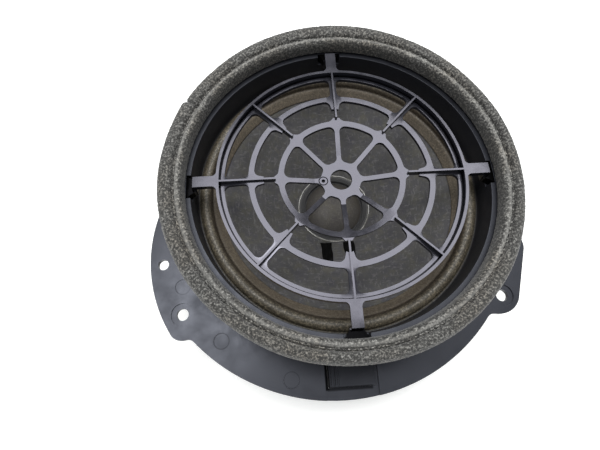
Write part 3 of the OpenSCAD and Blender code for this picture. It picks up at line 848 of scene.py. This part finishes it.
def woven_cloth(name, colour, thread_mm=0.9):
    """Resin-dipped woven cloth: crossed threads that darken between them."""
    f = Finish(name, colour, 0.6, Sheen_Weight=0.1)
    parts = f.add("ShaderNodeSeparateXYZ", Vector=f.place)
    waves = [f.math("SINE", f.math("MULTIPLY", parts.outputs[k], FULL_TURN / (thread_mm * MM)))
             for k in (0, 1)]
    weave = f.math("MULTIPLY_ADD", f.math("MULTIPLY", waves[0], waves[1]), 0.5, 0.5)
    tone = f.ramp(weave, (0.1, shade(colour, 0.45)), (0.7, colour))
    stain = f.noise(8.0, 3.0)
    tone = f.lay(tone, stain, 0.4, shade(colour, 0.6))
    f.bump(weave, 0.15, 0.8)
    return f.done(tone)


def film(name, colour):
    """Amber film wound into a tube, with a faint streak along it."""
    f = Finish(name, colour, 0.28, Coat_Weight=0.4)
    streak = f.noise(3.0, 3.0, 0.6, (1.0, 1.0, 0.1))
    tone = f.ramp(streak, (0.3, shade(colour, 0.75)), (0.7, shade(colour, 1.15)))
    f.bump(streak, 0.01)
    return f.done(tone)


# ---------------------------------------------------------------- the pieces


class LOUDSPEAKER_OT_basket(bpy.types.Operator):
    """Make the moulded basket, the front ring and the connector block"""

    bl_idname = "loudspeaker.basket"
    bl_label = "Basket and front ring"

    def execute(self, context):
        settings = context.scene.loudspeaker_plastic
        edge = settings.edge_radius
        satin = moulded_plastic(
            "Basket plastic", settings.colour, 0.34, 0.3, 0.01, rings=PIN_RINGS,
            boxes=BAY_BOXES)
        lip = moulded_plastic("Front ring plastic", settings.colour, 0.44, 0.4, 0.02)
        block = moulded_plastic(
            "Connector plastic", shade(settings.colour, 0.8), 0.42, 0.25, 0.01,
            boxes=BAY_BOXES)
        finish_piece(merged("basket_frame", "basket_moulding"), FIXED, satin)
        finish_piece(softened("front_ring", "front_ring_moulding", edge), FIXED,
                     lip)
        finish_piece(softened("connector_housing", "connector_block", edge * 0.75), FIXED,
                     block)
        return {"FINISHED"}


class LOUDSPEAKER_OT_grille(bpy.types.Operator):
    """Make the guard grille with its rings, fins and arms"""

    bl_idname = "loudspeaker.grille"
    bl_label = "Guard grille"

    def execute(self, context):
        settings = context.scene.loudspeaker_plastic
        smooth = moulded_plastic(
            "Grille plastic", settings.colour, settings.grille_gloss, 0.5, 0.003, 1.6,
            GRILLE_RINGS, tint=(0.87, 0.86, 1.0))
        grille = merged("guard_grille", "grille_moulding", flat_crease=math.radians(8))
        finish_piece(grille, FIXED, smooth)
        return {"FINISHED"}


class LOUDSPEAKER_OT_foam_ring(bpy.types.Operator):
    """Make the open-cell foam ring with its two grooves and its joint"""

    bl_idname = "loudspeaker.foam_ring"
    bl_label = "Foam ring"

    segments = 1200
    joint_angle = math.radians(150)
    notch_depth, notch_width = 1.3, 0.011
    step_height, step_length = 0.9, 0.16
    # Where the ring is wider: by how much, at what angle, and over what angle.
    swells = ((1.9, math.radians(92), 0.8), (1.0, math.radians(178), 0.5))
    outline = (
        (76.8, 36.05), (76.7, 39.0), (76.75, 42.0), (77.2, 43.9), (78.3, 44.9), (79.6, 45.0),
        (80.3, 44.5), (80.45, 43.1), (80.65, 43.1), (80.85, 44.1), (81.25, 44.15), (81.5, 42.6),
        (81.75, 42.3), (82.05, 43.6), (82.6, 45.0), (83.9, 45.5), (85.6, 45.2), (87.0, 44.0),
        (87.8, 41.8), (88.0, 39.2), (87.95, 36.4), (87.5, 34.5), (86.4, 33.3), (85.2, 33.3),
        (84.75, 34.2), (84.7, 36.05))

    def reshape(self, radius, angle, height):
        """Waves the ring a little, and steps it where the two ends of the strip meet."""
        top = np.clip((height - 38.0) / 5.0, 0, 1)
        outer = np.clip((radius - 82.0) / 4.0, 0, 1)
        apart = (angle - self.joint_angle + math.pi) % FULL_TURN - math.pi
        notch = np.exp(-(apart / self.notch_width) ** 2)
        step = np.where(apart > 0, np.exp(-apart / self.step_length), 0) * self.step_height
        swell = sum(rise * np.exp(-((angle - at) / spread) ** 2)
                    for rise, at, spread in self.swells)
        wave = 0.35 * ripple(angle, 4, 14)
        radius = radius + outer * (wave + step + swell - self.notch_depth * notch)
        radius = radius - (1 - outer) * 0.15 * ripple(angle, 9, 20) * top
        height = height + top * (0.3 * ripple(angle, 6, 12) - 0.9 * notch - 0.25)
        low = np.clip((36.0 - height) / 2.0, 0, 1) * outer
        return radius, height + low * 0.5 * ripple(angle, 12, 40, 0.2)

    def execute(self, context):
        settings = context.scene.loudspeaker_foam
        outline = spaced(softly(self.outline), 0.5)
        foam = turned("foam_ring", outline, self.segments, self.reshape)
        material = open_cell_foam("Open-cell foam", settings.strut_colour, settings.pore_colour)
        shaped(foam, open_cell_tree(), {
            "Cell size": settings.cell_size, "Depth": settings.cell_depth, "Seed": 3.0,
            "Material": material})
        finish_piece(foam, FIXED, node="foam_gasket")
        return {"FINISHED"}


class LOUDSPEAKER_OT_surround(bpy.types.Operator):
    """Make the foam surround"""

    bl_idname = "loudspeaker.surround"
    bl_label = "Surround"

    segments = 480
    bend_out_r = 72.4
    bend_in_r = 66.8
    bend_z = 20.0

    def execute(self, context):
        settings = context.scene.loudspeaker_cone
        base = LEDGE_Z + LANDING_T
        outline = np.vstack([
            [(LANDING_OUT_R, LEDGE_Z + 0.02), (LANDING_OUT_R, base), (73.4, base)],
            arc((ROLL_R, base), ROLL_H, 2, 178, 30),
            [(66.35, base - 0.7), (65.2, CONE_EDGE[1] - 0.3), (63.6, 18.0),
             (62.3, CONE_BEND[1] + 0.95), (61.9, CONE_BEND[1] + 0.55), (61.95, cone_z(61.95))],
            [(CONE_EDGE[0], CONE_EDGE[1] + 0.02), (CONE_EDGE[0] + 0.5, base - 0.9)],
            arc((ROLL_R, base), ROLL_H - SKIN_T, 176, 4, 24),
            [(ROLL_R + ROLL_H - SKIN_T + 0.3, LEDGE_Z + 0.02)]])

        def reshape(radius, angle, height):
            roll = np.exp(-((radius - ROLL_R) / 3.2) ** 2)
            return radius, height + roll * 0.12 * ripple(angle, 21, 16)

        skin = turned("surround_roll", spaced(softly(outline, 1), 0.35), self.segments, reshape)
        skin.data.materials.append(skinned_foam("Surround foam", settings.surround_colour))
        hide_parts("surround")
        bend_across(skin, self.bend_out_r, self.bend_in_r)
        return {"FINISHED"}


class LOUDSPEAKER_OT_cone(bpy.types.Operator):
    """Make the paper cone, the dust cap and the bead of glue round the cap"""

    bl_idname = "loudspeaker.cone"
    bl_label = "Cone and dust cap"

    def paper_cone(self, settings):
        """The cone, which dishes and waves a little between its neck and its bend."""
        front = [(CONE_NECK[0], CONE_NECK[1]), (CONE_BEND[0], CONE_BEND[1]),
                 (CONE_EDGE[0], CONE_EDGE[1])]
        back = [(r + 0.25, z - CONE_T) for r, z in reversed(front)]
        outline = spaced(np.vstack([front, back]), 0.7)

        def reshape(radius, angle, height):
            wave = np.sin(np.pi * np.clip((radius - 22) / 40, 0, 1))
            return radius, height - wave * (0.09 + 0.09 * ripple(angle, 31, 22))

        cone = turned("paper_cone", outline, 360, reshape)
        paper = pressed_paper("Cone paper", settings.paper_colour, 0.35, 1.3)
        finish_piece(cone, MOVING, paper, "cone")

    def cap(self, settings):
        """The cap: a dome, a groove at its foot and a flange stepped like rings."""
        base = float(cone_z(CAP_FLANGE_R))
        crown = base + 3.2
        rise = 4.6
        bend = (CAP_R**2 + rise**2) / (2 * rise)

        def dome(r, sink):
            return crown - bend + math.sqrt((bend - sink) ** 2 - r * r)

        radii = np.linspace(0, CAP_R, 36)
        foot = dome(CAP_R, 0)
        outline = [(r, dome(r, 0)) for r in radii]
        outline += [(16.45, foot - 0.35), (16.6, foot - 0.75), (16.8, foot - 0.75),
                    (16.95, base + 0.35), (17.15, base + 0.75), (17.5, base + 0.85),
                    (17.75, base + 0.5), (17.95, base + 0.45), (18.1, base + 0.75),
                    (18.4, base + 0.8), (18.65, base + 0.4), (18.85, base + 0.35),
                    (19.0, base + 0.6), (19.3, base + 0.6), (19.5, base + 0.25),
                    (20.05, base + 0.3), (20.1, base + 0.03),
                    (16.7, float(cone_z(16.7)) + 0.05)]
        outline += [(r * 0.985, dome(r * 0.985, 0.5)) for r in radii[::-1]]

        def reshape(radius, angle, height):
            inner = np.clip(1 - radius / 15, 0, 1)
            return radius, height - inner * 0.1 * (1 + ripple(angle, 33, 5) * radius / 15)

        cap = turned("dust_cap_dome", np.array(outline), 240, reshape)
        paper = pressed_paper("Dust cap paper", settings.cap_colour, 0.1, 0.5, 0.15, 16.3)
        finish_piece(cap, MOVING, paper, "dust_cap")
        cap.data.set_sharp_from_angle(angle=math.radians(60))

    def bead(self):
        """The bead of glue, which swells and thins round the cap."""
        start = CAP_FLANGE_R
        foot = float(cone_z(start))
        outline = softly([(start, foot + 0.02), (start, foot + 0.55), (start + 0.3, foot + 0.95),
                          (start + 0.8, foot + 0.9),
                          (start + 1.15, float(cone_z(start + 1.15)) + 0.02)])

        def reshape(radius, angle, height):
            full = np.clip(0.62 + 0.6 * ripple(angle, 37, 9, 0.4), 0.25, 1.1)
            floor = cone_z(radius)
            return start + (radius - start) * (0.5 + 0.5 * full), floor + (height - floor) * full

        bead = turned("glue_bead", outline, 300, reshape)
        # Painted highlight: the clear glue's colour is lifted above its own dark tone to stand in
        # for the bright arcs of light along the bead.
        glue = glossy_glue("Clear glue", (0.17, 0.165, 0.15), 0.14, 1.6, Coat_Weight=0.8)
        finish_piece(bead, MOVING, glue, "cap_glue_bead")

    def execute(self, context):
        settings = context.scene.loudspeaker_cone
        self.paper_cone(settings)
        self.cap(settings)
        self.bead()
        return {"FINISHED"}


class LOUDSPEAKER_OT_lead_glue(bpy.types.Operator):
    """Make the two strips of black glue over the lead wires"""

    bl_idname = "loudspeaker.lead_glue"
    bl_label = "Lead glue"

    half_width = 3.2
    inner_end, outer_end = 21.3, 33.5
    sink = 0.12

    def strip(self, side, seed, material):
        """One strip, thickest along its middle, with three ridges and a ragged outer end."""
        rows, columns = 56, 30
        draw = np.random.default_rng(seed)
        v = np.linspace(0, 1, rows)[:, None]
        u = np.linspace(-1, 1, columns)[None, :]
        middle = side * LEAD_X
        ragged = 0.96 * np.sin(u * 7 + seed) * np.clip(v - 0.7, 0, 1)
        x = middle + u * self.half_width * (1 - 0.12 * v + 0.05 * np.sin(v * 9 + seed))
        y = -(self.inner_end + (self.outer_end - self.inner_end) * v + ragged)
        rim = np.minimum(np.minimum(1 - abs(u), 3.6 * np.minimum(v, 1 - v)) * 6, 1)
        ridges = 0.75 + 0.18 * np.cos(u * 9.5 + draw.uniform(0, 1)) + 0.08 * np.sin(v * 15 + 3 * u)
        floor = cone_z(np.hypot(x, y)) - self.sink
        top = floor + 0.1 + np.sqrt(np.clip(rim, 0, 1)) * ridges
        upper = np.stack([x + 0 * v, y, top], axis=2).reshape(-1, 3)
        lower = np.stack([x + 0 * v, y, floor], axis=2).reshape(-1, 3)
        count = rows * columns
        faces = grid_faces(rows, columns)
        under = [[count + k for k in reversed(f)] for f in faces]
        edge = list(range(columns))
        edge += [i * columns + columns - 1 for i in range(1, rows)]
        edge += [(rows - 1) * columns + j for j in range(columns - 2, -1, -1)]
        edge += [i * columns for i in range(rows - 2, 0, -1)]
        wall = [[a, b, count + b, count + a] for a, b in zip(edge, edge[1:] + edge[:1])]
        obj = mesh_object(
            "lead_glue_strip_" + SIDES[side], np.vstack([upper, lower]), faces + under + wall)
        finish_piece(obj, MOVING, material, "lead_glue_" + SIDES[side])

    def execute(self, context):
        glue = glossy_glue(
            "Black glue", (0.0012, 0.0012, 0.0012), 0.4, 1.2, Specular_IOR_Level=0.12)
        self.strip(-1, 2, glue)
        self.strip(1, 5, glue)
        return {"FINISHED"}


class LOUDSPEAKER_OT_spider(bpy.types.Operator):
    """Make the corrugated spider"""

    bl_idname = "loudspeaker.spider"
    bl_label = "Spider"

    rolls = 5
    roll_height = 1.1
    half_thickness = 0.28

    def execute(self, context):
        first, last = SPIDER_ROLLS
        half = self.half_thickness
        radii = np.linspace(first, last, 90)
        turn = FULL_TURN * self.rolls * (radii - first) / (last - first)
        wave = SPIDER_Z - self.roll_height * np.sin(turn)
        upper = [(SPIDER_IN_R + 0.02, SPIDER_Z + 0.85), (SPIDER_IN_R + 0.7, SPIDER_Z + 0.6)]
        upper += list(zip(radii, wave + half)) + [(SPIDER_OUT_R, SPIDER_Z + 0.25)]
        lower = [(SPIDER_OUT_R, SPIDER_Z - 0.55), (last + 0.6, SPIDER_Z - 0.5)]
        lower += list(zip(radii[::-1], wave[::-1] - half)) + [(SPIDER_IN_R + 0.02, SPIDER_Z - 0.2)]
        cloth = turned("spider_cloth", np.array(upper + lower), 240)
        cloth.data.materials.append(woven_cloth("Spider cloth", (0.42, 0.31, 0.13)))
        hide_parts("spider")
        bend_across(cloth, last, first)
        return {"FINISHED"}


class LOUDSPEAKER_OT_voice_coil(bpy.types.Operator):
    """Make the former and the two layers of wire on it"""

    bl_idname = "loudspeaker.voice_coil"
    bl_label = "Voice coil"

    def execute(self, context):
        wire = context.scene.loudspeaker_motor.wire_diameter
        film_tube = softened("coil_former", "former_tube", 0.00006)
        finish_piece(film_tube, MOVING, film("Amber film", (0.42, 0.2, 0.04)))
        low, high = COIL_Z
        turns = int((high - low) * MM / wire)
        copper = worn_metal("Copper wire", (0.62, 0.27, 0.12), 0.3)
        # The outer layer lies in the grooves of the inner one, so it has one turn less.
        for name, node, out, up, count in (
                ("coil_winding", "voice_coil", 0.52, 0.5, turns),
                ("coil_winding_outer", None, 1.5, 1.0, turns - 1)):
            layer = tidy_mesh(shaped(empty_mesh(name), winding_tree(), {
                "Wire diameter": wire, "Radius": COIL_IN_R * MM + out * wire,
                "Bottom": low * MM + up * wire, "Turns": count, "Material": copper}))
            finish_piece(layer, MOVING, node=node)
        return {"FINISHED"}


class LOUDSPEAKER_OT_motor(bpy.types.Operator):
    """Make the plates, the magnet and the screws"""

    bl_idname = "loudspeaker.motor"
    bl_label = "Motor"

    def screw(self):
        """One pan-head screw with a cross recess, standing on its seat."""
        outline = softly([(0, 1.55), (1.5, 1.5), (2.35, 1.0), (2.68, 0.35), (2.7, 0.02),
                          (1.9, 0.0), (1.85, -0.2), (1.85, -6.4), (1.5, -6.9), (0, -6.95)], 1)
        outline[outline[:, 0] < 0.4, 0] = 0
        body = turned("screw_pattern", outline, 40)
        cutter = bpy.data.meshes.new("recess")
        shell = bmesh.new()
        length, width, height, middle = 2.6 * MM, 0.6 * MM, 2.2 * MM, 1.6 * MM
        for size in ((length, width, height), (width, length, height)):
            made = bmesh.ops.create_cube(shell, size=1.0)
            bmesh.ops.scale(shell, verts=made["verts"], vec=size)
            bmesh.ops.translate(shell, verts=made["verts"], vec=(0, 0, middle))
        shell.to_mesh(cutter)
        shell.free()
        tool = link(bpy.data.objects.new("recess", cutter))
        cut = body.modifiers.new("Recess", "BOOLEAN")
        cut.object = tool
        cut.operation = "DIFFERENCE"
        cut.use_self = True
        settled(body)
        bpy.data.objects.remove(tool)
        return body

    def execute(self, context):
        edge = context.scene.loudspeaker_plastic.edge_radius
        steel = worn_metal("Plated steel", (0.62, 0.63, 0.64), 0.34, 0.35)
        for node, name in (("front_plate", "upper_plate"), ("pole_yoke", "yoke_and_pole")):
            finish_piece(softened(node, name, edge * 1.5), FIXED, steel)
        finish_piece(softened("ferrite_magnet", "ring_magnet", edge * 3), FIXED,
                     sintered_ferrite("Ferrite"))
        pattern = self.screw()
        screws = empty_mesh("plate_screws")
        shaped(screws, ring_of_parts_tree(), {
            "Part": pattern, "Count": context.scene.loudspeaker_motor.screw_count,
            "Radius": SCREW_CIRCLE_R * MM, "First angle": math.radians(45),
            "Height": SCREW_SEAT_Z * MM, "Seed": 5,
            "Material": worn_metal("Screw steel", (0.7, 0.7, 0.68), 0.3)})
        bpy.data.objects.remove(pattern)
        finish_piece(tidy_mesh(screws), FIXED, node="motor_screws")
        return {"FINISHED"}


class LOUDSPEAKER_OT_leads(bpy.types.Operator):
    """Make the terminal strips and the braided leads"""

    bl_idname = "loudspeaker.leads"
    bl_label = "Terminals and leads"

    # The route from the cone to the tab, as (y, z) points.
    route = ((-34.5, 1.0), (-35.2, -1.2), (-37.0, -3.4), (-40.0, -5.2), (-44.0, -6.0),
             (-48.0, -5.4), (-52.0, -3.8), (-55.5, -1.8), (-58.0, -1.4))
    cone_end = -34.5
    tab_end = -58.0
    tab_x = {-1: -5.8, 1: 6.2}
    braid_radius = 0.00042
    strand_radius = 0.00024
    braid_turns = 6.0
    strip_edge = 0.00012

    def lead(self, side, material, strands):
        """One lead: a smooth route that a braid is wound on."""
        name = "flexible_lead_" + SIDES[side]
        line = bpy.data.curves.new(name, "CURVE")
        line.dimensions = "3D"
        spline = line.splines.new("POLY")
        spline.points.add(len(self.route) - 1)
        for point, (y, z) in zip(spline.points, self.route):
            share = (self.cone_end - y) / (self.cone_end - self.tab_end)
            x = side * LEAD_X + share * (self.tab_x[side] - side * LEAD_X)
            point.co = (x * MM, y * MM, z * MM, 1)
        guide = link(bpy.data.objects.new(name + "_route", line))
        set_tree(guide, braid_tree(), {
            "Strands": strands, "Radius": self.braid_radius, "Strand radius": self.strand_radius,
            "Turns": self.braid_turns, "Material": material})
        mesh = made_mesh(guide)
        bpy.data.objects.remove(guide)
        lead = tidy_mesh(link(bpy.data.objects.new(name, mesh)))
        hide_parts("tinsel_lead_" + SIDES[side])
        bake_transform(lead)

    def execute(self, context):
        brass = worn_metal("Tinned brass", (0.74, 0.68, 0.52), 0.3)
        for side in SIDES.values():
            strip = softened("terminal_strip_" + side, "terminal_" + side, self.strip_edge)
            finish_piece(strip, FIXED, brass)
        braid = worn_metal("Tinsel braid", (0.66, 0.38, 0.2), 0.38)
        for side in SIDES:
            self.lead(side, braid, context.scene.loudspeaker_motor.strand_count)
        return {"FINISHED"}


# ---------------------------------------------------------------- the stage


class LOUDSPEAKER_OT_stage(bpy.types.Operator):
    """Make the pale floor, the soft light and the camera"""

    bl_idname = "loudspeaker.stage"
    bl_label = "Floor, light and camera"

    camera_at = (-0.02835, -0.08353, 0.21751)
    camera_right = (0.99800, -0.06160, 0.01454)
    camera_up = (0.05379, 0.94656, 0.31800)
    camera_back = (-0.03335, -0.31658, 0.94798)
    lens = 24.08
    floor_half = 3.0
    floor_glow = 0.34
    # Each light's place and size.
    softbox = ((0.165, 0.396, 1.05), (0.99, 0.77))
    side_light = ((-0.30, 0.085, 1.05), (0.42, 0.34))

    def floor(self, settings):
        """The table top."""
        half = self.floor_half
        mesh = bpy.data.meshes.new("floor")
        corners = [(x, y, FLOOR_Z * MM) for x, y in
                   ((-half, -half), (half, -half), (half, half), (-half, half))]
        mesh.from_pydata(corners, [], [(0, 1, 2, 3)])
        obj = link(bpy.data.objects.new("floor", mesh))
        f = Finish("Table top", settings.floor_colour, 0.55, Emission_Color=(1, 1, 1, 1),
                   Emission_Strength=self.floor_glow)
        colour = settings.floor_colour
        tone = f.ramp(f.noise(160.0, 3.0), (0.3, shade(colour, 0.985)), (0.7, colour))
        f.bump(f.noise(0.8), 0.01)
        obj.data.materials.append(f.done(tone))

    def light(self, name, place, size, power):
        """A wide soft light that looks straight down."""
        lamp = bpy.data.lights.new(name, "AREA")
        lamp.shape = "ELLIPSE"
        lamp.size, lamp.size_y = size
        lamp.energy = power
        obj = link(bpy.data.objects.new(name, lamp))
        obj.location = place

    def room(self, strength):
        """The even light from all round."""
        world = bpy.data.worlds.new("Room")
        world.use_nodes = True
        background = world.node_tree.nodes["Background"]
        background.inputs["Color"].default_value = (0.97, 0.985, 1.0, 1)
        background.inputs["Strength"].default_value = strength
        bpy.context.scene.world = world

    def camera(self):
        """The camera, from its place and the directions of its sides."""
        lens = bpy.data.cameras.new("Camera")
        lens.lens = self.lens
        lens.sensor_width = 36.0
        lens.clip_start, lens.clip_end = 0.01, 30.0
        obj = link(bpy.data.objects.new("Camera", lens))
        axes = Matrix((self.camera_right, self.camera_up, self.camera_back)).transposed()
        obj.matrix_world = Matrix.Translation(self.camera_at) @ axes.to_4x4()
        bpy.context.scene.camera = obj

    def execute(self, context):
        settings = context.scene.loudspeaker_stage
        self.floor(settings)
        self.light("Softbox", *self.softbox, settings.softbox_power)
        self.light("Side light", *self.side_light, settings.side_power)
        self.room(settings.room_light)
        self.camera()
        context.scene.view_settings.view_transform = "Standard"
        return {"FINISHED"}


class LOUDSPEAKER_PT_panel(bpy.types.Panel):
    """The loudspeaker's pieces, in the order they are made"""

    bl_idname = "LOUDSPEAKER_PT_panel"
    bl_label = "Car-door loudspeaker"
    bl_space_type = "VIEW_3D"
    bl_region_type = "UI"
    bl_category = "Loudspeaker"

    def draw(self, context):
        for name in SETTINGS:
            box = self.layout.box()
            settings = getattr(context.scene, name)
            for key in settings.__annotations__:
                box.prop(settings, key)
        for operator in OPERATORS:
            self.layout.operator(operator.bl_idname)


OPERATORS = (
    LOUDSPEAKER_OT_stage, LOUDSPEAKER_OT_basket, LOUDSPEAKER_OT_grille,
    LOUDSPEAKER_OT_foam_ring, LOUDSPEAKER_OT_surround, LOUDSPEAKER_OT_cone,
    LOUDSPEAKER_OT_lead_glue, LOUDSPEAKER_OT_spider, LOUDSPEAKER_OT_voice_coil,
    LOUDSPEAKER_OT_motor, LOUDSPEAKER_OT_leads)


def register():
    for name, group in SETTINGS.items():
        bpy.utils.register_class(group)
        setattr(bpy.types.Scene, name, bpy.props.PointerProperty(type=group))
    for made in OPERATORS + (LOUDSPEAKER_PT_panel,):
        bpy.utils.register_class(made)


def unregister():
    for made in reversed(OPERATORS + (LOUDSPEAKER_PT_panel,)):
        bpy.utils.unregister_class(made)
    for name, group in SETTINGS.items():
        delattr(bpy.types.Scene, name)
        bpy.utils.unregister_class(group)


def build():
    register()
    bpy.ops.loudspeaker.stage()
    bpy.ops.loudspeaker.basket()
    bpy.ops.loudspeaker.grille()
    bpy.ops.loudspeaker.foam_ring()
    bpy.ops.loudspeaker.surround()
    bpy.ops.loudspeaker.cone()
    bpy.ops.loudspeaker.lead_glue()
    bpy.ops.loudspeaker.spider()
    bpy.ops.loudspeaker.voice_coil()
    bpy.ops.loudspeaker.motor()
    bpy.ops.loudspeaker.leads()


if __name__ == "__main__":
    build()
